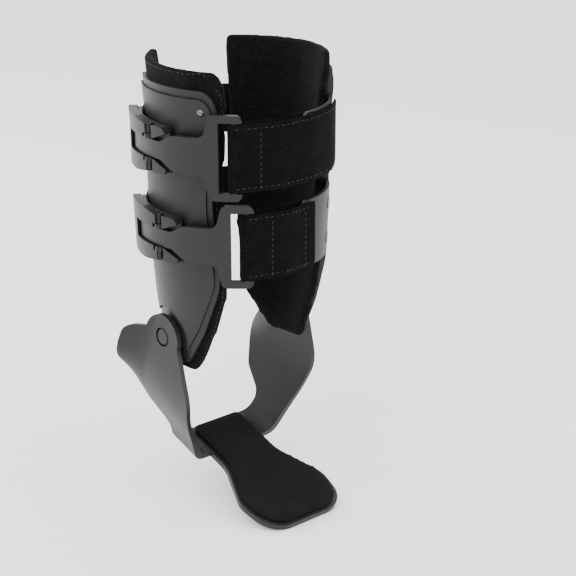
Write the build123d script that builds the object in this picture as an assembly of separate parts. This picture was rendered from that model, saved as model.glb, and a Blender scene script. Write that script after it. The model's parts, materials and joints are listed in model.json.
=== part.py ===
"""Hinged ankle foot orthosis for a right leg: two padded shells, a heel stirrup and quick-release straps.

Frame: millimetres, +Z up along the shin, -Y towards the toes, -X lateral, +X medial.
The origin is on the underside of the footplate, straight below the middle of the ankle hinge axis.
The pieces are drawn about the hinge axis, which runs along X, the stirrup with its sole level. It is
then turned to its rest angle, with the toes down, and all is raised together.
A place on the leg is a bearing, an offset and a height. Bearing 0 is due lateral, 90 is the front of
the shin and 180 is due medial. An offset is measured outwards from the outer face of the shells.
"""

import os
from math import cos, radians, sin, tan

from build123d import *

# Leg tube: outer radius of the shells at each height, about an upright axis in front of the hinge
LEG_AXIS_Y = -10.0
TUBE_PROFILE = [
    (44.0, -40), (44.6, -16), (45.2, 0), (47.7, 28), (49.6, 60), (50.5, 90), (51.0, 124), (53.0, 148), (55.5, 175),
]
TUBE_RADIUS = 54.0

# Shells and liners
SHELL_WALL = 2.6
FIELD_RISE = 1.2
FIELD_MARGIN = 4.5
SHELL_TOP = 147.0
SHELL_TIP = -13.5
LINER_GAP = 0.3
LINER_WALL = 4.5
LINER_TOP = 158.0
LINER_TIP = -19.0

# Ankle hinge
HINGE_POST_RADIUS = 4.0
HINGE_RUNNING_CLEARANCE = 0.05
HINGE_BOSS_RADIUS = 11.0
HINGE_BOSS_FACE = 46.0
HINGE_BOSS_WEB = 2.9
HINGE_WASHER_WALL = 0.8
HINGE_SIDE_PLAY = 0.2
HINGE_HEAD_RADIUS = 8.0
HINGE_HEAD_HEIGHT = 1.5
HINGE_CAP_RADIUS = 4.6
HINGE_CAP_HEIGHT = 1.5
HINGE_CAP_PIN_RADIUS = 1.8
HINGE_CAP_PIN_LENGTH = 5.0
HINGE_RECESS_RADIUS = 5.6
HINGE_RECESS_DEPTH = 1.7
LINER_HEAD_CLEARANCE = 0.5

# Stirrup: heel cup and footplate, drawn with the sole level
STIRRUP_WALL = 3.0
REST_PLANTARFLEXION = 20.0
LUG_RADIUS = 13.5
SOLE_DROP = 76.0
FOOTPLATE_FRONT = 101.0
FOOTPLATE_HALF = 32.0
NECK_HALF = 19.5
ARM_BELLY = 44.0
ARM_SOLE = 36.0
ARCH_REAR = 9.0
ARM_FRONT = 31.5
WING_REAR = 27.0
WING_FLARE = 9.0
FLARE_START = -8.0
WING_STEP = -2.3
PAD_WALL = 2.6
PAD_MARGIN = 1.2

# Straps
STRAP_WIDTH = 37.0
STRAP_WALL = 1.2
STRAP_TAPER_ROOM = 1.4
STRAP_HEIGHTS = {"upper": 113.0, "lower": 63.5}
STRAP_END_BEARING = {"upper": 137.0, "lower": 101.0}
BUCKLE_TURN = {"upper": 0.0, "lower": 6.0}

# Buckle: base, slider and clip
CLEARANCE = 0.3
BASE_WALL = 2.0
BASE_HALF = 13.0
BASE_FRONT = 8.0
BASE_REAR = -49.0
EAR_REAR = -3.4
TONGUE_WALL = 3.0
TONGUE_HALF = 4.7
TONGUE_REAR = -30.0
TONGUE_SIDE_GAP = 0.7
LUG_WALL = 2.2
LEVER_GAP = 0.3
LEVER_REAR = -51.0
LEVER_HALF = 15.0
LEVER_CROWN = 1.4
PIN_BEARING = -7.0
PIN_RISE = 2.6
PIN_RADIUS = 0.9
KNUCKLE_RADIUS = 1.6
RING_REAR = 33.5
RING_BAR = 5.0
RING_FRONT = 51.0
RING_HALF = 23.5
BAR_RADIUS = 1.7
FOLD_CLEARANCE = 0.4
RIVET_RADIUS = 1.8
RIVET_HEAD_RADIUS = 3.4
RIVET_HEAD_HEIGHT = 1.1

# Offsets that stack on the shell face
STRAP_SEAT = FIELD_RISE + 0.1
BASE_SEAT = STRAP_SEAT + STRAP_WALL + 0.1
BASE_TOP = BASE_SEAT + BASE_WALL
TONGUE_SEAT = BASE_TOP + CLEARANCE
TONGUE_TOP = TONGUE_SEAT + TONGUE_WALL
BAR_OFFSET = TONGUE_SEAT + TONGUE_WALL / 2
BAR_BEARING = RING_FRONT - 4.5
LUG_INNER = HINGE_BOSS_FACE + HINGE_WASHER_WALL + HINGE_SIDE_PLAY
LUG_OUTER = LUG_INNER + STIRRUP_WALL
EAR_RISE = TONGUE_TOP + 0.4
WING_OUTER = 0.0
WING_INNER = WING_OUTER - 2.0 - STRAP_TAPER_ROOM - STRAP_WALL / 2
FRONT_STRAP_RISE = WING_OUTER + STRAP_TAPER_ROOM + STRAP_WALL / 2
BACK_STRAP_FRONT = -30.0

LEG_AXIS = Axis((0, LEG_AXIS_Y, 0), (0, 0, 1))


def radius_at(height):
    """Outer radius of the shells at a height, on straight runs between the profile's points."""
    for (low_radius, low), (high_radius, high) in zip(TUBE_PROFILE, TUBE_PROFILE[1:]):
        if height <= high:
            return low_radius + (high_radius - low_radius) * (height - low) / (high - low)
    return TUBE_PROFILE[-1][0]


def polar(bearing, offset, height):
    """Plan position at a bearing and an offset from the shell face at that height."""
    radius = radius_at(height) + offset
    angle = radians(bearing)
    return (-radius * cos(angle), LEG_AXIS_Y - radius * sin(angle))


def layer(inner, outer):
    """Full ring of the leg tube between two offsets."""
    inside = Spline(*[(radius + inner, height) for radius, height in TUBE_PROFILE])
    outside = Spline(*[(radius + outer, height) for radius, height in TUBE_PROFILE])
    edges = [inside, Line(inside @ 1, outside @ 1), outside, Line(outside @ 0, inside @ 0)]
    section = Plane.XZ * make_face(edges)
    return Pos(0, LEG_AXIS_Y, 0) * revolve(section, Axis.Z)


def wedge(outline, bearing=0.0):
    """Solid of all rays from the leg axis through an outline drawn at TUBE_RADIUS, facing a bearing."""
    faces = []
    for share in (0.1, 1.6):
        plane = Plane(origin=(-TUBE_RADIUS * share, 0, 0), x_dir=(0, -1, 0), z_dir=(-1, 0, 0))
        faces.append(plane * scale(outline, by=(share, 1, 1)))
    return Pos(0, LEG_AXIS_Y, 0) * Rot(0, 0, bearing) * loft(faces, ruled=True)


def along(bearing, centre=0.0):
    """Distance along an outline, drawn facing the centre bearing, of a bearing."""
    return TUBE_RADIUS * tan(radians(bearing - centre))


def rounded(corners, radii):
    """Closed outline with one radius for each corner."""
    return make_face(FilletPolyline(*corners, radius=radii, close=True))


def panel(rear, front, low, high, radius=0.0, centre=0.0):
    """Rectangular outline between two bearings and two heights."""
    width = along(front, centre) - along(rear, centre)
    middle = (along(front, centre) + along(rear, centre)) / 2
    shape = RectangleRounded(width, high - low, radius) if radius else Rectangle(width, high - low)
    return Pos(middle, (low + high) / 2) * shape


def sector(inner, outer, start, stop, low, high):
    """Part of a ring between two offsets, two bearings and two heights."""
    mean = (start + stop) / 2
    return layer(inner, outer) & wedge(panel(start - mean, stop - mean, low, high), mean)


def solid(shape):
    """The one solid of a shape, so that nothing loose is written."""
    return max(shape.solids(), key=lambda piece: piece.volume)


def mirrored(shape):
    return mirror(shape, about=Plane.YZ)


def rivet(bearing, height, inner, outer):
    """Flush rivet from one offset to another, with a head in each face."""
    radius = radius_at(height)
    length = outer - inner
    shank = Cylinder(RIVET_RADIUS, length)
    inner_head = Pos(0, 0, -length / 2 + RIVET_HEAD_HEIGHT / 2) * Cylinder(RIVET_HEAD_RADIUS, RIVET_HEAD_HEIGHT)
    outer_head = Pos(0, 0, length / 2 - RIVET_HEAD_HEIGHT / 2) * Cylinder(RIVET_HEAD_RADIUS, RIVET_HEAD_HEIGHT)
    upright = shank + inner_head + outer_head
    placed = Pos(-radius - (inner + outer) / 2, 0, height) * Rot(0, -90, 0) * upright
    return Pos(0, LEG_AXIS_Y, 0) * Rot(0, 0, bearing) * placed


def x_rod(radius, start, stop):
    """Round rod along X on the lateral side of the hinge axis, between two distances from the middle."""
    return Pos(-(start + stop) / 2, 0, 0) * Rot(0, 90, 0) * Cylinder(radius, stop - start)


# ---------------------------------------------------------------- shells and liners


def shell_outline():
    """Side outline of a shell: wide at the calf, narrow at the ankle, with its tip ahead of the hinge."""
    corners = [
        (along(37.5), SHELL_TOP),
        (along(32), 85),
        (along(36.5), 38),
        (along(23), 8),
        (along(7), SHELL_TIP),
        (along(-18), SHELL_TIP),
        (along(-36), 14),
        (along(-42), 75),
        (along(-45), SHELL_TOP),
    ]
    return rounded(corners, [14, 60, 25, 14, 10, 12, 30, 60, 10])


def liner_outline():
    """Side outline of a liner, which stands out past the shell all round and most of all behind."""
    corners = [
        (along(43), LINER_TOP),
        (along(38), 85),
        (along(42), 34),
        (along(31), 8),
        (along(13), LINER_TIP),
        (along(-22), LINER_TIP),
        (along(-50), 10),
        (along(-55), 75),
        (along(-60), LINER_TOP),
    ]
    return rounded(corners, [16, 60, 25, 14, 12, 16, 30, 60, 8])


def make_shell():
    """Shell wall with a raised field inside its rim and a flat boss for the hinge."""
    outline = shell_outline()
    wall = layer(-SHELL_WALL, 0) & wedge(outline)
    field = layer(-SHELL_WALL / 2, FIELD_RISE) & wedge(offset(outline, -FIELD_MARGIN))
    field = solid(field - x_rod(LUG_RADIUS + 4, 20, 70))
    shell = wall + field
    boss = x_rod(HINGE_BOSS_RADIUS, 40, HINGE_BOSS_FACE) - layer(-20, -SHELL_WALL)
    shell = shell + boss
    shell -= x_rod(HINGE_POST_RADIUS, 20, 70)
    shell -= x_rod(HINGE_HEAD_RADIUS, 20, HINGE_BOSS_FACE - HINGE_BOSS_WEB)
    return solid(shell)


def make_liner():
    """Foam liner that lines the shell and stands out past its edges, most of all at the top."""
    outer = -SHELL_WALL - LINER_GAP
    liner = layer(outer - LINER_WALL, outer) & wedge(liner_outline())
    liner -= x_rod(HINGE_HEAD_RADIUS + LINER_HEAD_CLEARANCE, 39, 70)
    return solid(liner)


# ---------------------------------------------------------------- ankle hinge


def make_hinge_post():
    """Post that carries the stirrup, with a flat head inside the shell and a bore for the cap."""
    head_outer = HINGE_BOSS_FACE - HINGE_BOSS_WEB
    tip = LUG_OUTER - HINGE_RECESS_DEPTH + HINGE_SIDE_PLAY
    post = x_rod(HINGE_HEAD_RADIUS, head_outer - HINGE_HEAD_HEIGHT, head_outer)
    post += x_rod(HINGE_POST_RADIUS, head_outer, tip)
    post -= x_rod(HINGE_CAP_PIN_RADIUS, tip - HINGE_CAP_PIN_LENGTH, tip)
    return solid(post)


def make_hinge_cap():
    """Domed cap pressed into the post, sunk in the recess of the stirrup's lug."""
    seat = LUG_OUTER - HINGE_RECESS_DEPTH + HINGE_SIDE_PLAY
    head = x_rod(HINGE_CAP_RADIUS, seat, seat + HINGE_CAP_HEIGHT)
    rim = head.edges().filter_by(GeomType.CIRCLE).sort_by(Axis.X)[0]
    head = fillet(rim, HINGE_CAP_HEIGHT * 0.5)
    return solid(head + x_rod(HINGE_CAP_PIN_RADIUS, seat - HINGE_CAP_PIN_LENGTH, seat))


def make_hinge_washer():
    """Low-friction washer between the shell's boss and the lug."""
    disc = x_rod(HINGE_BOSS_RADIUS, HINGE_BOSS_FACE, HINGE_BOSS_FACE + HINGE_WASHER_WALL)
    return solid(disc - x_rod(HINGE_POST_RADIUS, 20, 70))


# ---------------------------------------------------------------- stirrup


def arm_section(station, flare):
    """Cross-section of both arms and the arch under the heel, as one band of STIRRUP_WALL."""
    plane = Plane(origin=(0, -station, 0), x_dir=(1, 0, 0), z_dir=(0, -1, 0))
    ends, edges = [], []
    for inset in (0, STIRRUP_WALL):
        top, belly, sole = LUG_OUTER + flare - inset, ARM_BELLY - inset, -SOLE_DROP + inset
        foot, flat = ARM_SOLE - 2 - inset, ARM_SOLE - 12 - inset
        upright = Line((top, 30), (top, -16))
        side = Spline((top, -16), (belly, -46), (foot, sole + 9), (flat, sole), tangents=((0, -1), (-1, 0)))
        half = [upright, side]
        edges += [*half, Line((flat, sole), (-flat, sole)), *[mirror(edge, about=Plane.YZ) for edge in half]]
        ends.append(top)
    edges += [Line((side * ends[0], 30), (side * ends[1], 30)) for side in (1, -1)]
    return plane * make_face(edges)


def stirrup_side():
    """Side outline of the arms: hinge lug, rear wing and heel arch. Forward is +X here."""
    upright = rounded(
        [
            (-9, 28), (9, 28), (LUG_RADIUS, 0), (ARM_FRONT, -27), (ARM_FRONT, -90),
            (ARCH_REAR + 1, -90), (ARCH_REAR, -62), (-9, -54), (-WING_REAR, -34), (-WING_REAR + 2, -6), (-13, -1),
        ],
        [1, 1, 12, 25, 1, 1, 8, 12, 10, 9, 5],
    )
    below_crown = Pos(0, -100) * Rectangle(300, 200)
    return (upright & below_crown) + Circle(LUG_RADIUS)


def plate_slab(margin, low, high):
    """Slab with the footplate's plan: a narrow neck ahead of the arms and a broad rounded front."""
    front = FOOTPLATE_FRONT - margin
    neck, ball = NECK_HALF - margin, FOOTPLATE_HALF - margin
    right = [(neck, ARCH_REAR + margin), (neck, 46), (ball, front - 26), (ball - 4, front)]
    radii = [3, 25, 16, 17]
    left = [(-x, y) for x, y in reversed(right)]
    outline = Rot(0, 0, 180) * rounded(right + left, radii + radii[::-1])
    return Pos(0, 0, low) * extrude(outline, high - low)


def make_stirrup():
    """Two lugs with rear wings, heel arch and footplate in one moulding."""
    sections = [arm_section(FLARE_START + WING_STEP * step, WING_FLARE * (step / 8) ** 1.7) for step in range(11, -1, -1)]
    band = loft([*sections, arm_section(ARM_FRONT + 8, 0)], ruled=True)
    side_plane = Plane(origin=(-80, 0, 0), x_dir=(0, -1, 0), z_dir=(-1, 0, 0))
    stirrup = band & extrude(side_plane * stirrup_side(), -160)
    stirrup += plate_slab(0, -SOLE_DROP, -SOLE_DROP + STIRRUP_WALL)
    for turn in (0, 180):
        hole = x_rod(HINGE_POST_RADIUS + HINGE_RUNNING_CLEARANCE, 30, 70)
        hole += x_rod(HINGE_RECESS_RADIUS, LUG_OUTER - HINGE_RECESS_DEPTH, 70)
        stirrup -= Rot(0, 0, turn) * hole
    return solid(stirrup)


def make_footplate_pad():
    """Foam pad on the footplate, from under the heel to its front edge."""
    low = -SOLE_DROP + STIRRUP_WALL
    return solid(plate_slab(PAD_MARGIN, low, low + PAD_WALL))


# ---------------------------------------------------------------- buckles


def bar_axis(height, turn=0.0):
    """Plan position of the round bar that the front strap folds over, where the clip swings."""
    return polar(BAR_BEARING + turn, BAR_OFFSET, height)


def pin_axis(height):
    """Plan position of the pins that the lever swings on."""
    return polar(PIN_BEARING, BASE_TOP + PIN_RISE, height)


def disc_about(axis, radius, low, high):
    """Upright cylinder about a plan position between two heights."""
    return Pos(*axis, (low + high) / 2) * Cylinder(radius, high - low)


def both_sides(height, inner, outer):
    """Height ranges above and below a strap's centre line."""
    return ((height + inner, height + outer), (height - outer, height - inner))


def buckle_rivets(height):
    """Two rivets that hold a buckle base, the back strap's end and the shell together."""
    return [rivet(bearing, height, 0.1 - SHELL_WALL, BASE_TOP) for bearing in (-12, -41)]


def make_buckle_base(height, rivets):
    """Base plate with a foot ahead of the back strap, ears beside the tongue and lugs for the pins."""
    low, high = height - BASE_HALF, height + BASE_HALF
    centre = (BASE_FRONT + BASE_REAR) / 2
    plate = panel(BASE_REAR - centre, BASE_FRONT - centre, low, high, radius=3)
    base = layer(BASE_SEAT, BASE_TOP) & wedge(plate, centre)
    base += sector(FIELD_RISE, BASE_SEAT + 0.5, BACK_STRAP_FRONT + 1, BASE_FRONT - 2, low + 1, high - 1)
    inner = TONGUE_HALF + TONGUE_SIDE_GAP
    for side in (1, -1):
        ear = rounded(
            [
                (along(EAR_REAR), height + side * inner),
                (along(BASE_FRONT), height + side * (inner + 4.6)),
                (along(BASE_FRONT - 2.5), height + side * BASE_HALF),
                (along(EAR_REAR), height + side * BASE_HALF),
            ],
            [0.5, 0.8, 2.5, 0.5],
        )
        base += layer(BASE_TOP - 0.5, EAR_RISE) & wedge(ear)
    for low, high in both_sides(height, inner, inner + LUG_WALL):
        lug = disc_about(pin_axis(height), PIN_RISE, low, high)
        base += lug + sector(BASE_TOP - 0.5, BASE_TOP + PIN_RISE, PIN_BEARING - 2, PIN_BEARING + 2, low, high)
    base -= disc_about(pin_axis(height), PIN_RADIUS, height - LEVER_HALF, height + LEVER_HALF)
    for pin in rivets:
        base -= pin
    return solid(base)


def make_lever_pins(height):
    """Two short pins pressed into the base's lugs, one above and one below the tongue."""
    inner = TONGUE_HALF + TONGUE_SIDE_GAP
    return [disc_about(pin_axis(height), PIN_RADIUS, low, high) for low, high in both_sides(height, inner, BASE_HALF)]


def make_lever(height):
    """Release lever that swings outwards on its pins, with a notch round the tongue's tip."""
    floor = BASE_TOP + LEVER_GAP
    crown = EAR_RISE + LEVER_CROWN
    centre = (LEVER_REAR + PIN_BEARING) / 2
    outline = rounded(
        [
            (along(PIN_BEARING, centre), height - BASE_HALF),
            (along(PIN_BEARING, centre), height + BASE_HALF),
            (along(PIN_BEARING - 12, centre), height + LEVER_HALF),
            (along(LEVER_REAR + 7, centre), height + LEVER_HALF),
            (along(LEVER_REAR, centre), height + LEVER_HALF - 8),
            (along(LEVER_REAR, centre), height - LEVER_HALF + 8),
            (along(LEVER_REAR + 7, centre), height - LEVER_HALF),
            (along(PIN_BEARING - 12, centre), height - LEVER_HALF),
        ],
        [0.5, 0.5, 8, 8, 6, 6, 8, 8],
    )
    lever = layer(floor, crown) & wedge(outline, centre)
    lever += disc_about(pin_axis(height), KNUCKLE_RADIUS, height - BASE_HALF, height + BASE_HALF)
    lever -= lever_notch(height)
    # Room behind and round the base's lugs
    inner = TONGUE_HALF + TONGUE_SIDE_GAP
    for low, high in both_sides(height, inner - 0.1, inner + LUG_WALL + LEVER_GAP):
        lever -= disc_about(pin_axis(height), PIN_RISE + 1.1, low, high)
    lever -= disc_about(pin_axis(height), PIN_RADIUS + 0.05, height - LEVER_HALF, height + LEVER_HALF)
    return solid(lever)


def lever_notch(height):
    """Space for the tongue, its end round about both the clip's bar and the lever's pins."""
    half = TONGUE_HALF + TONGUE_SIDE_GAP
    tip = Vector(*polar(TONGUE_REAR, TONGUE_TOP, height))
    about_bar = (tip - Vector(*bar_axis(height))).length + 2 * CLEARANCE
    about_pin = (tip - Vector(*pin_axis(height))).length + 2 * CLEARANCE
    space = disc_about(bar_axis(height), about_bar, height - half, height + half)
    space += disc_about(pin_axis(height), about_pin, height - half, height + half)
    return space & sector(BASE_TOP - 1, EAR_RISE + 9, TONGUE_REAR - 12, PIN_BEARING + 8, height - half, height + half)


def make_clip(height):
    """Clip with a tongue for the buckle and a frame with a round bar for the strap."""
    centre = (TONGUE_REAR + RING_FRONT) / 2
    half = [
        (TONGUE_REAR, TONGUE_HALF, 2),
        (3, TONGUE_HALF + 0.2, 6),
        (11, TONGUE_HALF + 5, 10),
        (RING_REAR - 3, TONGUE_HALF + 6, 5),
        (RING_REAR, RING_HALF, 4),
        (RING_FRONT, RING_HALF, 5),
    ]
    upper = [(along(bearing, centre), height + up) for bearing, up, _ in half]
    lower = [(along(bearing, centre), height - up) for bearing, up, _ in reversed(half)]
    radii = [radius for _, _, radius in half]
    clip = layer(TONGUE_SEAT, TONGUE_TOP) & wedge(rounded(upper + lower, radii + radii[::-1]), centre)
    slot_half = STRAP_WIDTH / 2 + 0.8
    clip -= sector(TONGUE_SEAT - 3, TONGUE_TOP + 3, RING_REAR + RING_BAR, RING_FRONT + 9, height - slot_half, height + slot_half)
    bar = disc_about(bar_axis(height), BAR_RADIUS, height - slot_half - 1, height + slot_half + 1)
    tip = Vector(*polar(TONGUE_REAR, TONGUE_TOP, height))
    reach = (tip - Vector(*bar_axis(height))).length
    return solid((clip + bar) & disc_about(bar_axis(height), reach, height - RING_HALF - 1, height + RING_HALF + 1))


# ---------------------------------------------------------------- straps


def beside(curve, shift):
    """Spline that runs beside a plan curve at a distance to its left."""
    points = []
    for step in range(13):
        tangent = curve % (step / 12)
        points.append(curve @ (step / 12) + Vector(-tangent.Y, tangent.X) * shift)
    return Spline(*points, tangents=[curve % 0, curve % 1])


def make_front_strap(height, end_bearing, turn):
    """Strap from inside the medial wing, through the clip, round its bar and back over itself."""
    fold = BAR_RADIUS + FOLD_CLEARANCE + STRAP_WALL / 2
    centre = Vector(*bar_axis(height, turn))
    radial = (centre - Vector(0, LEG_AXIS_Y)).normalized()
    rearward = Vector(radial.Y, -radial.X)
    under, over, back = centre - radial * fold, centre + radial * fold, centre + rearward * fold
    start = [Vector(*polar(bearing, WING_INNER, height)) for bearing in (135, 112, 90)]
    start.append(Vector(*polar(70 + turn, WING_INNER + 2.4, height)))
    finish = [Vector(*polar(bearing, FRONT_STRAP_RISE, height)) for bearing in (90, 101, 119, 137) if bearing <= end_bearing]
    finish.insert(0, Vector(*polar(70 + turn, FRONT_STRAP_RISE + 2.6, height)))
    going = Spline(*start, under, tangents=[start[1] - start[0], rearward])
    coming = Spline(over, *finish, tangents=[-rearward, finish[-1] - finish[-2]])
    sides = []
    for side in (-0.5, 0.5):
        shift = side * STRAP_WALL
        arc_ends = [centre - radial * (fold + shift), centre + rearward * (fold + shift), centre + radial * (fold + shift)]
        sides.append([beside(going, -shift), ThreePointArc(*arc_ends), beside(coming, -shift)])
    caps = [Line(sides[0][0] @ 0, sides[1][0] @ 0), Line(sides[0][2] @ 1, sides[1][2] @ 1)]
    band = make_face(sides[0] + sides[1] + caps)
    return solid(Pos(0, 0, height - STRAP_WIDTH / 2) * extrude(band, STRAP_WIDTH))


def make_wing(height):
    """Flexible wing of the medial shell, reaching round to the front of the shin."""
    half = STRAP_WIDTH / 2 + 1
    centre = 120
    wing = panel(92 - centre, 152 - centre, height - half, height + half, radius=4)
    return layer(WING_OUTER - 2.0, WING_OUTER) & wedge(wing, centre)


def wing_rivets(height):
    """Two rivets that hold the front strap's fixed end inside the medial wing."""
    return [rivet(130, height + up, WING_INNER - STRAP_WALL / 2 - 0.4, WING_OUTER + 0.5) for up in (10, -10)]


def make_back_strap(height, rivets):
    """Webbing round the back of the leg, from under the buckle base to under the medial keeper."""
    low, high = height - STRAP_WIDTH / 2 + 4, height + STRAP_WIDTH / 2 - 4
    strap = sector(STRAP_SEAT, STRAP_SEAT + STRAP_WALL, -90, BACK_STRAP_FRONT, low, high)
    strap += sector(STRAP_SEAT, STRAP_SEAT + STRAP_WALL, 180 - BACK_STRAP_FRONT, 270, low, high)
    for pin in rivets:
        strap -= pin
    return solid(strap)


def make_keeper(height, rivets):
    """Moulded keeper plate that clamps a back strap's end to the medial shell."""
    half = STRAP_WIDTH / 2 - 2
    keeper = layer(BASE_SEAT, BASE_SEAT + 1.6) & wedge(panel(-9, 9, height - half, height + half, radius=5), 215)
    for pin in rivets:
        keeper -= pin
    return solid(keeper)


def keeper_rivets(height):
    """Two rivets through a keeper, the back strap and the medial shell."""
    return [rivet(215, height + up, 0.1 - SHELL_WALL, BASE_SEAT + 2.2) for up in (9, -9)]


# ---------------------------------------------------------------- assembly


def turned(shape, angle):
    """Shape turned about the leg axis by an angle in bearing."""
    return Pos(0, LEG_AXIS_Y, 0) * Rot(0, 0, angle) * Pos(0, -LEG_AXIS_Y, 0) * shape


def build():
    """All nodes by name."""
    nodes = {
        "stirrup": Rot(REST_PLANTARFLEXION, 0, 0) * make_stirrup(),
        "footplate_pad": Rot(REST_PLANTARFLEXION, 0, 0) * make_footplate_pad(),
    }
    lateral_shell = make_shell()
    medial_shell = mirrored(lateral_shell)
    liner = make_liner()
    nodes["lateral_liner"] = liner
    nodes["medial_liner"] = mirrored(liner)
    for name, make in (("post", make_hinge_post), ("cap", make_hinge_cap), ("washer", make_hinge_washer)):
        piece = make()
        nodes[f"lateral_hinge_{name}"] = piece
        nodes[f"medial_hinge_{name}"] = mirrored(piece)
    for level, height in STRAP_HEIGHTS.items():
        turn = BUCKLE_TURN[level]
        pins = buckle_rivets(height)
        placed_pins = [turned(pin, turn) for pin in pins]
        fixed_pins = wing_rivets(height)
        back_pins = keeper_rivets(height)
        strap = make_front_strap(height, STRAP_END_BEARING[level], turn)
        medial_shell += make_wing(height)
        for pin in fixed_pins:
            strap -= pin
        nodes[f"{level}_buckle_base"] = turned(make_buckle_base(height, pins), turn)
        nodes[f"{level}_buckle_rivets"] = Compound(placed_pins)
        nodes[f"{level}_lever_pins"] = Compound([turned(pin, turn) for pin in make_lever_pins(height)])
        nodes[f"{level}_lever"] = turned(make_lever(height), turn)
        nodes[f"{level}_clip"] = turned(make_clip(height), turn)
        nodes[f"{level}_front_strap"] = solid(strap)
        nodes[f"{level}_wing_rivets"] = Compound(fixed_pins)
        nodes[f"{level}_back_strap"] = make_back_strap(height, placed_pins + back_pins)
        nodes[f"{level}_back_keeper"] = make_keeper(height, back_pins)
        nodes[f"{level}_keeper_rivets"] = Compound(back_pins)
        for pin in placed_pins:
            lateral_shell -= pin
        for pin in fixed_pins + back_pins:
            medial_shell -= pin
    nodes["lateral_shell"] = solid(lateral_shell)
    nodes["medial_shell"] = solid(medial_shell)
    return nodes


HINGE_HEIGHT = SOLE_DROP / cos(radians(REST_PLANTARFLEXION))

os.makedirs("parts", exist_ok=True)
for node_name, shape in build().items():
    export_step(Pos(0, 0, HINGE_HEIGHT) * shape, f"parts/{node_name}.step")
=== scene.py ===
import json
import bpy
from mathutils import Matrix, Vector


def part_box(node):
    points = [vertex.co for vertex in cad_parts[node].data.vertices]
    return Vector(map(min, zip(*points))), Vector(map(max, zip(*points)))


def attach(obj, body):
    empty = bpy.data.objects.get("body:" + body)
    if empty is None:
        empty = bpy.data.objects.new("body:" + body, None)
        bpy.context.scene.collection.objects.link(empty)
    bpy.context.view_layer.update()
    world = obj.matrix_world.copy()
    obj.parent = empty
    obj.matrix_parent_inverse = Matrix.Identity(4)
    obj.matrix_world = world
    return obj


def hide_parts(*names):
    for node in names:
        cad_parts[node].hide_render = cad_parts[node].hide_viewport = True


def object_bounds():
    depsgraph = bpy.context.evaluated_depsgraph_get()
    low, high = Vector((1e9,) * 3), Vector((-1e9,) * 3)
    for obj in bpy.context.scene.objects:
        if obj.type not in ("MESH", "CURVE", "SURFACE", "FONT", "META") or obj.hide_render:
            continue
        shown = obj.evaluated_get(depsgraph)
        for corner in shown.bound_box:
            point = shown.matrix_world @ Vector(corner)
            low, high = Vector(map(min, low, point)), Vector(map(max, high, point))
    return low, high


bl_info = {
    "name": "Hinged ankle brace looks",
    "version": (1, 0, 0),
    "blender": (4, 5, 0),
    "location": "View3D > Sidebar > Brace",
    "description": "Padding, straps, stitching, materials and studio for the hinged ankle brace frame",
    "category": "Object",
}

from math import atan2, ceil, cos, degrees, pi, radians, sin

import bpy
from mathutils import Vector
from mathutils.bvhtree import BVHTree

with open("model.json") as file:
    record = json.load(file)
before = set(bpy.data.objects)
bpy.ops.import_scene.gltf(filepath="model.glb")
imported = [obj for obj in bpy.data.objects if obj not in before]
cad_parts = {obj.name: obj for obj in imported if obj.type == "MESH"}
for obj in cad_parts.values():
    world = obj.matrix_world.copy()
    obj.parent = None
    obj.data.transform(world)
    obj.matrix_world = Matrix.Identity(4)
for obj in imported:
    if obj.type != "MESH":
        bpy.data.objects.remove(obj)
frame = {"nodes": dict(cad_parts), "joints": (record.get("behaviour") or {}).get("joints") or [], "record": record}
CAD_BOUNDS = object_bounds()
NODES = frame["nodes"]
JOINTS = {joint["name"]: Vector(joint.get("pos_m", (0, 0, 0))) for joint in frame["joints"]}
LEVELS = ("upper", "lower")
SIDES = {"lateral": 1, "medial": -1}
UP = Vector((0, 0, 1))

# Metres unless said otherwise. Bearings are degrees round the leg, 0 at the side and 90 at the front.
LEG_AXIS_Y = -0.010
WEBBING_RADIUS = 0.053
OUTSIDE_LEG = 0.09

STRAP_TURN = {"upper": 0.0, "lower": 6.0}
STRAP_END = {"upper": 137.0, "lower": 101.0}
STRAP_RADIUS_OFFSET = {"upper": 0.0003, "lower": -0.0008}
STRAP_PUCKER = 0.0003
STRAP_BEARINGS = (90, 101, 119, 137)
PATH_SPACING = 0.0013

CLOTH_FRAMES = 20
AIR_PRESSURE = 4.0
CLOTH_STIFFNESS = 20
SWELL_SHARE = 0.8
FOOTBED_SWELL = 0.0005

SEAM_ROW = 0.004
SEAM_SPACING = 0.0016
BORDER_SEAM = 0.0024
BORDER_SEAM_HALF = 0.0009
EDGE_ROUND = 0.7
PATCH_STEPS = 14
PATCH_WALL = 0.0007

BACK_STRAP_WALL = 0.0012
STUD_BEARING = 27
STUD_DROP = 0.0115
STUD_SIDES = 20
STUD_PROFILE = ((0.0021, -0.0004), (0.0021, 0.0001), (0.0019, 0.0005), (0.0012, 0.0009), (0.0004, 0.00105))
FLOOR_REACH = 4


# ---------------------------------------------------------------- settings


def length(name, default, description):
    return bpy.props.FloatProperty(
        name=name, description=description, default=default, unit="LENGTH", precision=5
    )


def colour(name, default, description):
    return bpy.props.FloatVectorProperty(
        name=name, description=description, default=default, subtype="COLOR", size=3
    )


def number(name, default, description):
    return bpy.props.FloatProperty(name=name, description=description, default=default)


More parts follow.
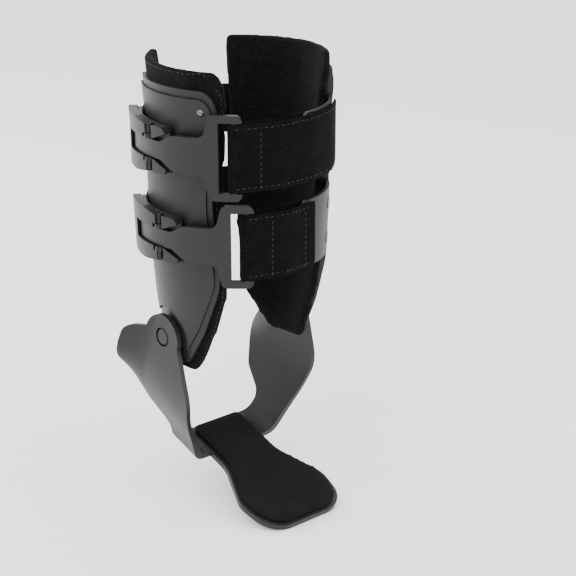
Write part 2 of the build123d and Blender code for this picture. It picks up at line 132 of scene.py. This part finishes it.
class BraceSizes(bpy.types.PropertyGroup):
    """Sizes of the pieces that are made here"""

    leg_axis_y: length("Leg axis", LEG_AXIS_Y, "Y of the upright axis that the shells curve round")
    shell_radius: length("Shell radius", 0.0505, "Outer radius of the shells at the straps")
    strap_width: length("Strap width", 0.037, "Width of the front straps")
    strap_wall: length("Strap thickness", 0.0013, "Thickness of one layer of strap")
    strap_fold: length("Strap fold", 0.0027, "Radius of the strap's middle round the clip's bar")
    stitch_long: length("Stitch length", 0.0021, "Length of one stitch")
    stitch_gap: length("Stitch gap", 0.0011, "Space between two stitches")
    stitch_thick: length("Stitch thickness", 0.00042, "Thickness of the sewing thread")
    stitch_margin: length("Stitch margin", 0.0024, "Distance of a seam from the edge it follows")
    liner_voxel: length("Liner voxel", 0.0021, "Voxel size of the liners' remesh")
    liner_swell: length("Liner swell", 0.0010, "Furthest that a point of a liner may swell")
    pad_voxel: length("Footbed voxel", 0.0016, "Voxel size of the footbed's remesh")


class BraceColours(bpy.types.PropertyGroup):
    """Colours of the materials"""

    shell: colour("Shell", (0.0110, 0.0094, 0.0087), "Moulded plastic of the shells")
    stirrup: colour("Stirrup", (0.0135, 0.0119, 0.0111), "Moulded plastic of the stirrup")
    buckle: colour("Buckle", (0.0102, 0.0088, 0.0082), "Moulded plastic of the buckles")
    liner: colour("Liner", (0.0028, 0.0028, 0.0030), "Brushed fabric of the liners")
    strap: colour("Strap", (0.0020, 0.0020, 0.0022), "Brushed loop fabric of the straps")
    webbing: colour("Webbing", (0.0028, 0.0028, 0.0031), "Woven fabric of the back straps")
    hook: colour("Hook", (0.005, 0.005, 0.0055), "Hook patch at the straps' ends")
    foam: colour("Footbed", (0.0034, 0.0034, 0.0037), "Foam of the footbed")
    thread: colour("Thread", (0.0075, 0.0075, 0.008), "Sewing thread")
    steel: colour("Rivet", (0.105, 0.104, 0.106), "Dark plated steel")
    washer: colour("Washer", (0.30, 0.29, 0.27), "Nylon of the hinge washers")


class BraceStage(bpy.types.PropertyGroup):
    """Camera and light"""

    azimuth: number("Azimuth", -42.0, "Camera's azimuth in degrees")
    elevation: number("Elevation", 20.0, "Camera's elevation in degrees")
    distance: length("Distance", 1.0, "Camera's distance from its target")
    lens: number("Lens", 109.0, "Focal length in millimetres on a 36 mm sensor")
    right: length("Right", 0.027, "Target's distance to the right of the leg axis")
    height: length("Height", 0.1009, "Target's height")
    key: number("Key light", 9.0, "Power of the key light in watts")
    fill: number("Fill light", 6.0, "Power of the fill light in watts")
    rim: number("Rim light", 7.0, "Power of the light behind")
    world: number("World", 2.0, "Strength of the white surroundings")


# ---------------------------------------------------------------- shader graphs


class Value:
    """One output socket, which takes part in sums and products."""

    def __init__(self, graph, socket):
        self.graph, self.socket = graph, socket

    def math(self, operation, *others, swap=False):
        sources = [self, *others]
        if swap:
            sources.reverse()
        node = self.graph.node("ShaderNodeMath", {"operation": operation}, dict(enumerate(sources)))
        return Value(self.graph, node.outputs[0])

    def __add__(self, other):
        return self.math("ADD", other)

    def __sub__(self, other):
        return self.math("SUBTRACT", other)

    def __rsub__(self, other):
        return self.math("SUBTRACT", other, swap=True)

    def __mul__(self, other):
        return self.math("MULTIPLY", other)

    __radd__, __rmul__ = __add__, __mul__

    def sine(self):
        return self.math("SINE")

    def step(self, low, high):
        """0 below low, 1 above high, smooth between."""
        settings = {"interpolation_type": "SMOOTHSTEP"}
        sockets = {"Value": self, "From Min": low, "From Max": high}
        node = self.graph.node("ShaderNodeMapRange", settings, sockets)
        return Value(self.graph, node.outputs[0])


class Graph:
    """A material's node tree, with one Principled shader."""

    def __init__(self, name):
        self.material = bpy.data.materials.new(name)
        self.material.use_nodes = True
        self.tree = self.material.node_tree
        self.shader = self.tree.nodes["Principled BSDF"]
        self.coords = self.node("ShaderNodeTexCoord").outputs["Object"]

    def node(self, kind, settings=None, sockets=None):
        made = self.tree.nodes.new(kind)
        for key, value in (settings or {}).items():
            setattr(made, key, value)
        for key, value in (sockets or {}).items():
            self.feed(made.inputs[key], value)
        return made

    def feed(self, socket, value):
        if isinstance(value, Value):
            self.tree.links.new(value.socket, socket)
        elif isinstance(value, bpy.types.NodeSocket):
            self.tree.links.new(value, socket)
        else:
            socket.default_value = value

    def noise(self, scale, detail=2.0, rough=0.5, stretch=(1, 1, 1)):
        vector = self.node("ShaderNodeMapping", None, {"Vector": self.coords, "Scale": stretch}).outputs[0]
        sockets = {"Vector": vector, "Scale": scale, "Detail": detail, "Roughness": rough}
        return Value(self, self.node("ShaderNodeTexNoise", None, sockets).outputs[0])

    def cells(self, scale):
        node = self.node("ShaderNodeTexVoronoi", None, {"Vector": self.coords, "Scale": scale})
        return Value(self, node.outputs["Distance"])

    def place(self):
        """Position as three values in metres."""
        node = self.node("ShaderNodeSeparateXYZ", None, {0: self.coords})
        return [Value(self, output) for output in node.outputs]

    def mixed(self, factor, first, second):
        node = self.node("ShaderNodeMix", {"data_type": "RGBA"}, {0: factor, 6: first, 7: second})
        return node.outputs[2]

    def bump(self, height, strength, distance, normal=None):
        sockets = {"Height": height, "Strength": strength, "Distance": distance}
        if normal:
            sockets["Normal"] = normal
        return self.node("ShaderNodeBump", None, sockets).outputs[0]

    def finish(self, **inputs):
        for name, value in inputs.items():
            self.feed(self.shader.inputs[name.replace("_", " ").title().replace("Ior", "IOR")], value)
        return self.material


def tone(rgb, factor):
    return (*[min(1.0, channel * factor) for channel in rgb], 1.0)


# ---------------------------------------------------------------- materials


def moulded_plastic(name, rgb, grain=1500.0, gloss=0.44):
    """Moulded plastic: fine spark-eroded grain, faint flow marks, scuffs and a dusty bloom."""
    graph = Graph(name)
    fine = graph.noise(grain, 3.0, 0.6)
    pits = graph.cells(grain * 0.9)
    broad = graph.noise(26.0, 3.0)
    flow = graph.noise(60.0, 2.0, 0.5, (1.0, 1.0, 0.18))
    hair = graph.noise(900.0, 1.0, 0.5, (1.0, 0.05, 0.35)).step(0.70, 0.76)
    scuffs = hair * graph.noise(70.0, 2.0).step(0.52, 0.66)
    dust = graph.noise(320.0, 4.0, 0.7).step(0.58, 0.80) * broad.step(0.42, 0.68)
    base = graph.mixed(broad * 0.6 + flow * 0.4, tone(rgb, 0.82), tone(rgb, 1.24))
    base = graph.mixed(dust * 0.16, base, tone(rgb, 3.2))
    base = graph.mixed(scuffs * 0.30, base, tone(rgb, 2.8))
    rough = (broad - 0.5) * 0.16 + (fine - 0.5) * 0.10 + scuffs * 0.14 + gloss
    normal = graph.bump(fine * 0.6 + pits * 0.4, 0.34, 0.00012)
    normal = graph.bump(flow, 0.10, 0.0006, normal)
    return graph.finish(base_color=base, roughness=rough, normal=normal, specular_ior_level=0.26)


def brushed_pile(name, rgb, pile=1900.0, sheen=0.10, lint=0.22):
    """Brushed loop fabric: tufted pile lying in patches, with a soft sheen and specks of lint."""
    graph = Graph(name)
    tufts = graph.cells(pile)
    fibre = graph.noise(pile * 1.6, 3.0, 0.7)
    lay = graph.noise(120.0, 3.0, 0.6, (1.0, 1.0, 1.7))
    specks = graph.noise(1300.0, 1.0).step(0.70, 0.76)
    shade = tufts * 0.5 + fibre * 0.3 + lay * 0.5
    base = graph.mixed(shade.step(0.25, 1.0), tone(rgb, 0.4), tone(rgb, 3.0))
    base = graph.mixed(specks * lint, base, tone(rgb, 9.0))
    normal = graph.bump(tufts * 0.7 + fibre * 0.5, 0.9, 0.0006)
    normal = graph.bump(lay, 0.35, 0.0012, normal)
    graph.finish(sheen_weight=sheen, sheen_roughness=0.45, specular_ior_level=0.02)
    return graph.finish(base_color=base, roughness=0.97 - 0.12 * fibre, normal=normal)


def woven(name, rgb, pitch=0.00095, sheen=0.06):
    """Woven webbing: ribs round the leg crossed by picks, with slight unevenness."""
    graph = Graph(name)
    x, y, z = graph.place()
    arc = x.math("ARCTAN2", y - LEG_AXIS_Y) * WEBBING_RADIUS
    wobble = graph.noise(160.0, 2.0) * 0.9
    ribs = (z * (2 * pi / pitch) + wobble).sine()
    picks = (arc * (2 * pi / (pitch * 1.5)) + ribs * 0.7 + wobble).sine()
    weave = (ribs * picks) * 0.5 + 0.5
    fibre = graph.noise(3800.0, 2.0, 0.7)
    worn = graph.noise(90.0, 3.0)
    base = graph.mixed(weave * 0.7 + fibre * 0.3, tone(rgb, 0.5), tone(rgb, 2.2))
    base = graph.mixed(worn.step(0.5, 0.8) * 0.3, base, tone(rgb, 3.4))
    normal = graph.bump(weave + fibre * 0.3, 0.6, 0.0003)
    graph.finish(sheen_weight=sheen, sheen_roughness=0.4, specular_ior_level=0.08)
    return graph.finish(base_color=base, roughness=0.92 - 0.16 * weave, normal=normal)


def hook_tape(name, rgb):
    """Hook tape: rows of fine stiff hooks on a shiny backing."""
    graph = Graph(name)
    x, y, z = graph.place()
    arc = x.math("ARCTAN2", y - LEG_AXIS_Y) * WEBBING_RADIUS
    rows = (z * (2 * pi / 0.0011)).sine() * (arc * (2 * pi / 0.0013)).sine()
    hooks = rows.step(0.1, 0.7)
    base = graph.mixed(hooks, tone(rgb, 0.6), tone(rgb, 3.0))
    normal = graph.bump(hooks, 0.8, 0.0003)
    return graph.finish(base_color=base, roughness=0.62 - 0.22 * hooks, normal=normal)


def foam(name, rgb):
    """Closed-cell foam with an embossed dot pattern and rubbed high spots."""
    graph = Graph(name)
    x, y, _ = graph.place()
    dots = ((x * (2 * pi / 0.004)).sine() * (y * (2 * pi / 0.004)).sine()).step(0.25, 0.75)
    skin = graph.noise(2400.0, 3.0, 0.7)
    rubbed = graph.noise(45.0, 3.0).step(0.45, 0.75)
    base = graph.mixed(skin * 0.7 + rubbed * 0.2, tone(rgb, 0.6), tone(rgb, 1.9))
    normal = graph.bump(dots + skin * 0.35, 0.5, 0.0003)
    graph.finish(specular_ior_level=0.12)
    return graph.finish(base_color=base, roughness=0.92 - 0.1 * rubbed, normal=normal)


def thread(name, rgb):
    """Twisted sewing thread."""
    graph = Graph(name)
    x, y, z = graph.place()
    twist = ((x + y + z) * (2 * pi / 0.0006)).sine()
    base = graph.mixed(twist * 0.5 + 0.5, tone(rgb, 0.6), tone(rgb, 2.0))
    return graph.finish(base_color=base, roughness=0.62, normal=graph.bump(twist, 0.5, 0.0001))


def plated_steel(name, rgb):
    """Dark plated steel with turned rings and small scratches."""
    graph = Graph(name)
    lines = graph.noise(1200.0, 2.0, 0.6, (1.0, 0.12, 1.0))
    tarnish = graph.noise(260.0, 4.0, 0.6)
    base = graph.mixed(tarnish, tone(rgb, 0.55), tone(rgb, 1.7))
    rough = 0.24 + lines * 0.14 + tarnish.step(0.5, 0.8) * 0.2
    normal = graph.bump(lines, 0.2, 0.00008)
    return graph.finish(base_color=base, metallic=1.0, roughness=rough, normal=normal)


# ---------------------------------------------------------------- mesh helpers


def link(name, mesh, material, body, smooth=True):
    """New object from a mesh, riding on a body."""
    piece = bpy.data.objects.new(name, mesh)
    bpy.context.scene.collection.objects.link(piece)
    mesh.materials.clear()
    mesh.materials.append(material)
    if smooth:
        mesh.shade_smooth()
    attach(piece, body)
    return piece


def mesh_from(name, points, faces):
    mesh = bpy.data.meshes.new(name)
    mesh.from_pydata([tuple(point) for point in points], [], faces)
    mesh.update()
    return mesh


def tube_cap(rings, size):
    """Faces of a closed tube of rings with flat ends."""
    faces = []
    for i in range(rings - 1):
        for j in range(size):
            k = (j + 1) % size
            faces.append((i * size + j, i * size + k, (i + 1) * size + k, (i + 1) * size + j))
    faces.append(tuple(reversed(range(size))))
    faces.append(tuple((rings - 1) * size + j for j in range(size)))
    return faces


def smooth_path(points, spacing):
    """Evenly spaced points on a smooth curve through the given ones."""
    ends = [2 * points[0] - points[1], *points, 2 * points[-1] - points[-2]]
    fine = []
    for a, b, c, d in zip(ends, ends[1:], ends[2:], ends[3:]):
        for step in range(24):
            t = step / 24
            square, cube = 2 * a - 5 * b + 4 * c - d, 3 * b - 3 * c + d - a
            fine.append(0.5 * (2 * b + (c - a) * t + square * t**2 + cube * t**3))
    fine.append(points[-1])
    return even(fine, spacing)


def even(points, spacing):
    """The same line with even steps of about the given spacing."""
    steps = [(b - a).length for a, b in zip(points, points[1:])]
    total = sum(steps)
    count = max(2, ceil(total / spacing))
    result, walked, index = [], 0.0, 0
    for n in range(count + 1):
        goal = total * n / count
        while index < len(steps) - 1 and walked + steps[index] < goal:
            walked += steps[index]
            index += 1
        share = (goal - walked) / steps[index] if steps[index] else 0
        result.append(points[index].lerp(points[index + 1], min(1.0, share)))
    return result


def stitch_row(name, path, normals, sizes, material, body):
    """Row of separate stitches that follow a line on a surface."""
    points, faces = [], []
    pitch = sizes.stitch_long + sizes.stitch_gap
    count = max(1, int(sum((b - a).length for a, b in zip(path, path[1:])) / pitch))
    marks = [index * (len(path) - 1) / count for index in range(count)]
    for mark in marks:
        i = min(int(mark), len(path) - 2)
        centre = path[i].lerp(path[i + 1], mark - i)
        along = (path[i + 1] - path[i]).normalized()
        out = normals[i].normalized()
        across = along.cross(out).normalized()
        start = len(points)
        for share in (-0.5, -0.36, 0.0, 0.36, 0.5):
            bulge = max(0.18, 1 - (2 * abs(share)) ** 3)
            lift = sizes.stitch_thick * (0.35 * bulge - 0.1)
            for turn in range(6):
                angle = turn * pi / 3
                offset = across * cos(angle) * bulge * 0.5 + out * sin(angle) * bulge * 0.42
                reach = along * share * sizes.stitch_long
                points.append(centre + reach + offset * sizes.stitch_thick + out * lift)
        faces += [tuple(start + v for v in face) for face in tube_cap(5, 6)]
    return link(name, mesh_from(name, points, faces), material, body)


def surface_of(piece):
    """A piece's surface, ready for rays."""
    mesh = piece.data
    return BVHTree.FromPolygons([v.co for v in mesh.vertices], [tuple(p.vertices) for p in mesh.polygons])


def outward(bearing, sign=1):
    """Direction away from the leg at a bearing; sign -1 counts from the medial side."""
    angle = radians(bearing)
    return Vector((-sign * cos(angle), -sin(angle), 0))


def band(path, half_width, wall, pucker=0.0, columns=22):
    """Closed upright strip of fabric along a path, with rounded edges and a dip at each border seam."""
    points = []
    size = 2 * columns
    for i, centre in enumerate(path):
        ahead = path[min(i + 1, len(path) - 1)] - path[max(i - 1, 0)]
        out = ahead.cross(UP).normalized()
        for j in range(size):
            front = j < columns
            share = (j if front else size - 1 - j) / (columns - 1) * 2 - 1
            edge = (1 - abs(share)) * half_width
            rounding = EDGE_ROUND * wall
            thin = min(1.0, (edge / rounding) ** 0.5) if edge < rounding else 1.0
            seam = 1 - 0.32 * max(0.0, 1 - abs(edge - BORDER_SEAM) / BORDER_SEAM_HALF)
            wave = pucker * sin(centre.x * 900 + centre.y * 700 + 5 * share) * (abs(share) ** 6)
            rise = (0.5 if front else -0.5) * wall * max(0.25, thin) * seam + wave
            points.append(centre + UP * share * half_width + out * rise)
    return points, tube_cap(len(path), size)


def leg_point(sizes, bearing, offset, height):
    """Place by bearing round the leg from due lateral towards the toes."""
    radius = sizes.shell_radius + offset
    angle = radians(bearing)
    return Vector((-radius * cos(angle), sizes.leg_axis_y - radius * sin(angle), height))


def material_of(name):
    return bpy.data.materials[name]


# ---------------------------------------------------------------- operators


class BraceMaterials(bpy.types.Operator):
    """Make every material"""

    bl_idname = "brace.materials"
    bl_label = "Materials"

    def execute(self, context):
        colours = context.scene.brace_colours
        moulded_plastic("shell_grain", colours.shell)
        moulded_plastic("stirrup_grain", colours.stirrup, 1300.0, 0.42)
        moulded_plastic("buckle_grain", colours.buckle, 1900.0, 0.40)
        moulded_plastic("nylon", colours.washer, 2200.0, 0.5)
        brushed_pile("liner_pile", colours.liner, 1400.0, 0.03)
        brushed_pile("strap_pile", colours.strap, 1500.0, 0.012, 0.12)
        woven("webbing_weave", colours.webbing)
        hook_tape("hook_rows", colours.hook)
        foam("footbed_skin", colours.foam)
        thread("sewing_thread", colours.thread)
        plated_steel("rivet_steel", colours.steel)
        return {"FINISHED"}


class BraceHardParts(bpy.types.Operator):
    """Give the moulded and metal parts their materials"""

    bl_idname = "brace.hard_parts"
    bl_label = "Hard parts"

    def execute(self, context):
        by_slot = {
            "shell_plastic": "shell_grain",
            "stirrup_plastic": "stirrup_grain",
            "buckle_plastic": "buckle_grain",
            "rivet_metal": "rivet_steel",
            "washer_nylon": "nylon",
        }
        for entry in frame["record"]["subparts"]:
            name = by_slot.get(entry["material_slot"])
            if name:
                node = NODES[entry["node"]]
                if not node.material_slots:
                    node.data.materials.append(None)
                for slot in node.material_slots:
                    slot.material = material_of(name)
        return {"FINISHED"}


class BraceLiners(bpy.types.Operator):
    """Swell the foam liners and sew a binding seam round their edges"""

    bl_idname = "brace.liners"
    bl_label = "Liners"

    def execute(self, context):
        sizes = context.scene.brace_sizes
        for side in SIDES:
            node = f"{side}_liner"
            piece = padded_copy(node, f"{side}_liner_padding", sizes.liner_voxel, sizes.liner_swell)
            piece.data.materials.append(material_of("liner_pile"))
            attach(piece, "cuff")
            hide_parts(node)
            self.seam(piece, side, sizes)
        return {"FINISHED"}

    def seam(self, piece, side, sizes):
        """Stitches on the outer face, a little inside the liner's edge."""
        low, high = (Vector(corner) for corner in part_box(f"{side}_liner"))
        sign = SIDES[side]
        axis = Vector((0, sizes.leg_axis_y, 0))
        edges = {}
        for vertex in piece.data.vertices:
            spot = vertex.co - axis
            row = round((vertex.co.z - low.z) / SEAM_ROW)
            bearing = degrees(atan2(-spot.y, -spot.x * sign))
            reach = edges.setdefault(row, [bearing, bearing])
            reach[0], reach[1] = min(reach[0], bearing), max(reach[1], bearing)
        rows = sorted(edges)[2:-3]
        inset = degrees(sizes.stitch_margin / sizes.shell_radius)
        rear = [(edges[r][0] + inset, low.z + r * SEAM_ROW) for r in rows]
        front = [(edges[r][1] - inset, low.z + r * SEAM_ROW) for r in rows]
        top = high.z - sizes.stitch_margin - 0.0005
        across = [(rear[-1][0] + (front[-1][0] - rear[-1][0]) * t / 10, top) for t in range(1, 10)]
        tree = surface_of(piece)
        path = []
        for bearing, height in [*front, *reversed(across), *reversed(rear)]:
            out = outward(bearing, sign)
            place = tree.ray_cast(axis + out * OUTSIDE_LEG + Vector((0, 0, height)), -out)[0]
            if place:
                path.append(place)
        path = smooth_path(path, SEAM_SPACING)
        normals = [Vector((p.x, p.y - sizes.leg_axis_y, 0)) for p in path]
        name, sewing = f"{side}_liner_stitches", material_of("sewing_thread")
        stitch_row(name, path, normals, sizes, sewing, "cuff")


def padded_copy(node, name, voxel, swell):
    """Remeshed copy of a CAD solid, swollen a little by air pressure in a short cloth simulation."""
    mesh = NODES[node].data.copy()
    mesh.materials.clear()
    piece = bpy.data.objects.new(name, mesh)
    bpy.context.scene.collection.objects.link(piece)
    context = bpy.context
    context.view_layer.objects.active = piece
    remesh = piece.modifiers.new("remesh", "REMESH")
    remesh.mode, remesh.voxel_size, remesh.use_smooth_shade = "VOXEL", voxel, True
    bpy.ops.object.modifier_apply(modifier="remesh")
    start = [vertex.co.copy() for vertex in piece.data.vertices]
    cloth = piece.modifiers.new("cloth", "CLOTH")
    settings = cloth.settings
    settings.use_pressure, settings.uniform_pressure_force = True, AIR_PRESSURE
    settings.effector_weights.gravity = 0
    settings.tension_stiffness = settings.compression_stiffness = CLOTH_STIFFNESS
    settings.quality = 6
    for step in range(1, CLOTH_FRAMES + 1):
        context.scene.frame_set(step)
    bpy.ops.object.modifier_apply(modifier="cloth")
    context.scene.frame_set(1)
    for vertex, origin in zip(piece.data.vertices, start):
        moved = vertex.co - origin
        if not moved.length < 1.0:
            moved = Vector()
        vertex.co = origin + moved * min(1.0, swell / max(moved.length, 1e-9)) * SWELL_SHARE
    smooth = piece.modifiers.new("smooth", "SMOOTH")
    smooth.factor, smooth.iterations = 0.5, 5
    bpy.ops.object.modifier_apply(modifier="smooth")
    finer = piece.modifiers.new("finer", "SUBSURF")
    finer.levels = finer.render_levels = 1
    bpy.ops.object.modifier_apply(modifier="finer")
    piece.data.shade_smooth()
    return piece


class BraceFrontStraps(bpy.types.Operator):
    """Fold the front straps round the clips' bars, with stitched borders and a hook patch"""

    bl_idname = "brace.front_straps"
    bl_label = "Front straps"

    def execute(self, context):
        sizes = context.scene.brace_sizes
        for level in LEVELS:
            node = f"{level}_front_strap"
            path = self.centre_line(level, sizes)
            mesh = mesh_from(node, *band(path, sizes.strap_width / 2, sizes.strap_wall, STRAP_PUCKER))
            piece = link(f"{level}_strap_band", mesh, material_of("strap_pile"), "cuff")
            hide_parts(node)
            self.sew(level, path, sizes)
        return {"FINISHED"}

    def centre_line(self, level, sizes):
        """Middle of the strap: along the leg, round the clip's bar and back over itself."""
        bar = JOINTS[f"{level}_clip_swing"]
        axis = Vector((0, sizes.leg_axis_y, bar.z))
        out = (bar - axis).normalized()
        back = Vector((out.y, -out.x, 0))
        radius = sizes.shell_radius + STRAP_RADIUS_OFFSET[level]
        crossing = 70 + STRAP_TURN[level]
        fold = sizes.strap_fold

        def spot(bearing, rise):
            return axis + outward(bearing) * (radius + rise)

        inner = [spot(135, -0.0040), spot(112, -0.0040), spot(90, -0.0040), spot(crossing, -0.0016)]
        turns = [radians(angle) for angle in range(0, 181, 15)]
        loop = [bar - out * cos(angle) * fold + back * sin(angle) * fold for angle in turns]
        ends = [spot(bearing, 0.0021) for bearing in STRAP_BEARINGS if bearing <= STRAP_END[level]]
        return smooth_path([*inner, *loop, spot(crossing, 0.0046), *ends], PATH_SPACING)

    def sew(self, level, path, sizes):
        """Seams along both borders of the outer layer, and a hook patch at its end."""
        bar = JOINTS[f"{level}_clip_swing"]
        radial = (bar - Vector((0, sizes.leg_axis_y, bar.z))).normalized()
        over = bar + radial * sizes.strap_fold
        start = min(range(len(path)), key=lambda index: (path[index] - over).length) + 2
        outer = path[start:-2]
        lift = sizes.strap_wall * 0.5 * 0.80
        outs = [(b - a).cross(UP).normalized() for a, b in zip(outer, outer[1:])]
        outs.append(outs[-1])
        sewing = material_of("sewing_thread")
        middle = len(outer) // 2
        if outs[middle].dot(outer[middle] - Vector((0, sizes.leg_axis_y, bar.z))) < 0:
            outs = [-out for out in outs]
        half = sizes.strap_width / 2 - sizes.stitch_margin
        for label, side in (("upper", 1), ("lower", -1)):
            row = [point + UP * side * half + out * lift for point, out in zip(outer, outs)]
            stitch_row(f"{level}_strap_{label}_seam", row, outs, sizes, sewing, "cuff")
        for label, index in (("near", 10), ("end", len(outer) - 5)):
            column = [outer[index] + outs[index] * lift * 1.2 + UP * half * t / 12 for t in range(-12, 13)]
            normals = [outs[index]] * len(column)
            stitch_row(f"{level}_strap_{label}_seam", column, normals, sizes, sewing, "cuff")
        sink = sizes.strap_wall * 0.5 + 0.0003
        patch = [point - out * sink for point, out in zip(outer[-PATCH_STEPS:], outs[-PATCH_STEPS:])]
        name = f"{level}_hook_patch"
        mesh = mesh_from(name, *band(patch, half - 0.001, PATCH_WALL))
        link(name, mesh, material_of("hook_rows"), "cuff")


class BraceBackStraps(bpy.types.Operator):
    """Weave the back straps"""

    bl_idname = "brace.back_straps"
    bl_label = "Back straps"

    def execute(self, context):
        sizes = context.scene.brace_sizes
        for level in LEVELS:
            node = f"{level}_back_strap"
            low, high = (Vector(corner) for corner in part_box(node))
            height = (low.z + high.z) / 2
            rise = (high.y - sizes.leg_axis_y) - sizes.shell_radius - 0.0007
            path = [leg_point(sizes, bearing, rise, height) for bearing in range(-30, -151, -2)]
            mesh = mesh_from(node, *band(path, (high.z - low.z) / 2, BACK_STRAP_WALL))
            piece = link(f"{level}_back_webbing", mesh, material_of("webbing_weave"), "cuff")
            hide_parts(node)
        return {"FINISHED"}


class BraceStuds(bpy.types.Operator):
    """Set a small domed stud in the front top corner of each shell, which pins the liner"""

    bl_idname = "brace.studs"
    bl_label = "Studs"

    def execute(self, context):
        sizes = context.scene.brace_sizes
        for side, sign in SIDES.items():
            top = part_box(f"{side}_shell")[1][2]
            tree = surface_of(NODES[f"{side}_shell"])
            axis = Vector((0, sizes.leg_axis_y, top - STUD_DROP))
            out = outward(STUD_BEARING, sign)
            centre, normal = tree.ray_cast(axis + out * OUTSIDE_LEG, -out)[:2]
            across = normal.orthogonal().normalized()
            beside = normal.cross(across)
            points = []
            for radius, rise in STUD_PROFILE:
                for turn in range(STUD_SIDES):
                    t = 2 * pi * turn / STUD_SIDES
                    points.append(centre + (across * cos(t) + beside * sin(t)) * radius + normal * rise)
            mesh = mesh_from(f"{side}_stud", points, tube_cap(len(STUD_PROFILE), STUD_SIDES))
            link(f"{side}_liner_stud", mesh, material_of("rivet_steel"), "cuff")
        return {"FINISHED"}


class BraceFootbed(bpy.types.Operator):
    """Round off the foam footbed"""

    bl_idname = "brace.footbed"
    bl_label = "Footbed"

    def execute(self, context):
        sizes = context.scene.brace_sizes
        piece = padded_copy("footplate_pad", "footbed_cushion", sizes.pad_voxel, FOOTBED_SWELL)
        piece.data.materials.append(material_of("footbed_skin"))
        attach(piece, "stirrup")
        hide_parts("footplate_pad")
        return {"FINISHED"}


class BraceStudio(bpy.types.Operator):
    """Set the camera, the pale floor and soft light"""

    bl_idname = "brace.studio"
    bl_label = "Studio"

    def execute(self, context):
        scene, stage = context.scene, context.scene.brace_stage
        azimuth, elevation = radians(stage.azimuth), radians(stage.elevation)
        out = Vector((sin(azimuth) * cos(elevation), -cos(azimuth) * cos(elevation), sin(elevation)))
        right = Vector((cos(azimuth), sin(azimuth), 0))
        target = Vector((0, context.scene.brace_sizes.leg_axis_y, stage.height)) + right * stage.right
        data = bpy.data.cameras.new("camera")
        data.lens, data.sensor_width, data.clip_end = stage.lens, 36, 20
        camera = bpy.data.objects.new("camera", data)
        camera.location = target + out * stage.distance
        camera.rotation_euler = out.to_track_quat("Z", "Y").to_euler()
        scene.collection.objects.link(camera)
        scene.camera = camera
        self.floor()
        self.light("key", target, right * -0.5 + out * 0.9 + Vector((0, 0, 0.8)), 0.8, stage.key)
        self.light("fill", target, right * 0.9 + out * 0.6 + Vector((0, 0, 0.3)), 1.0, stage.fill)
        self.light("rim", target, right * -0.9 - out * 0.5 + Vector((0, 0, 0.6)), 0.6, stage.rim)
        world = bpy.data.worlds.new("white")
        world.use_nodes = True
        background = world.node_tree.nodes["Background"]
        background.inputs["Color"].default_value = (1, 1, 1, 1)
        background.inputs["Strength"].default_value = stage.world
        scene.world = world
        return {"FINISHED"}

    def floor(self):
        height = CAD_BOUNDS[0][2] - 0.0002
        signs = ((-1, -1), (1, -1), (1, 1), (-1, 1))
        corners = [(x * FLOOR_REACH, y * FLOOR_REACH, height) for x, y in signs]
        mesh = mesh_from("floor", corners, [(0, 1, 2, 3)])
        graph = Graph("paper")
        mesh.materials.append(graph.finish(base_color=(0.95, 0.95, 0.95, 1), roughness=0.9))
        floor = bpy.data.objects.new("floor", mesh)
        bpy.context.scene.collection.objects.link(floor)

    def light(self, name, target, offset, size, power):
        data = bpy.data.lights.new(name, "AREA")
        data.size, data.energy = size, power
        lamp = bpy.data.objects.new(name, data)
        lamp.location = target + offset
        lamp.rotation_euler = offset.to_track_quat("Z", "Y").to_euler()
        bpy.context.scene.collection.objects.link(lamp)


OPERATORS = (
    BraceMaterials,
    BraceHardParts,
    BraceLiners,
    BraceFrontStraps,
    BraceBackStraps,
    BraceStuds,
    BraceFootbed,
    BraceStudio,
)


class BracePanel(bpy.types.Panel):
    """Sizes, colours and steps of the brace's looks"""

    bl_idname = "VIEW3D_PT_brace"
    bl_label = "Ankle brace"
    bl_space_type = "VIEW_3D"
    bl_region_type = "UI"
    bl_category = "Brace"

    def draw(self, context):
        for group in (context.scene.brace_sizes, context.scene.brace_colours, context.scene.brace_stage):
            box = self.layout.box()
            for name in group.__annotations__:
                box.prop(group, name)
        for operator in OPERATORS:
            self.layout.operator(operator.bl_idname)


GROUPS = {"brace_sizes": BraceSizes, "brace_colours": BraceColours, "brace_stage": BraceStage}


def register():
    for cls in (*GROUPS.values(), *OPERATORS, BracePanel):
        bpy.utils.register_class(cls)
    for name, group in GROUPS.items():
        setattr(bpy.types.Scene, name, bpy.props.PointerProperty(type=group))


def unregister():
    for name in GROUPS:
        delattr(bpy.types.Scene, name)
    for cls in (BracePanel, *OPERATORS, *GROUPS.values()):
        bpy.utils.unregister_class(cls)


def main():
    register()
    for operator in OPERATORS:
        group, name = operator.bl_idname.split(".")
        getattr(getattr(bpy.ops, group), name)()


if __name__ == "__main__":
    main()
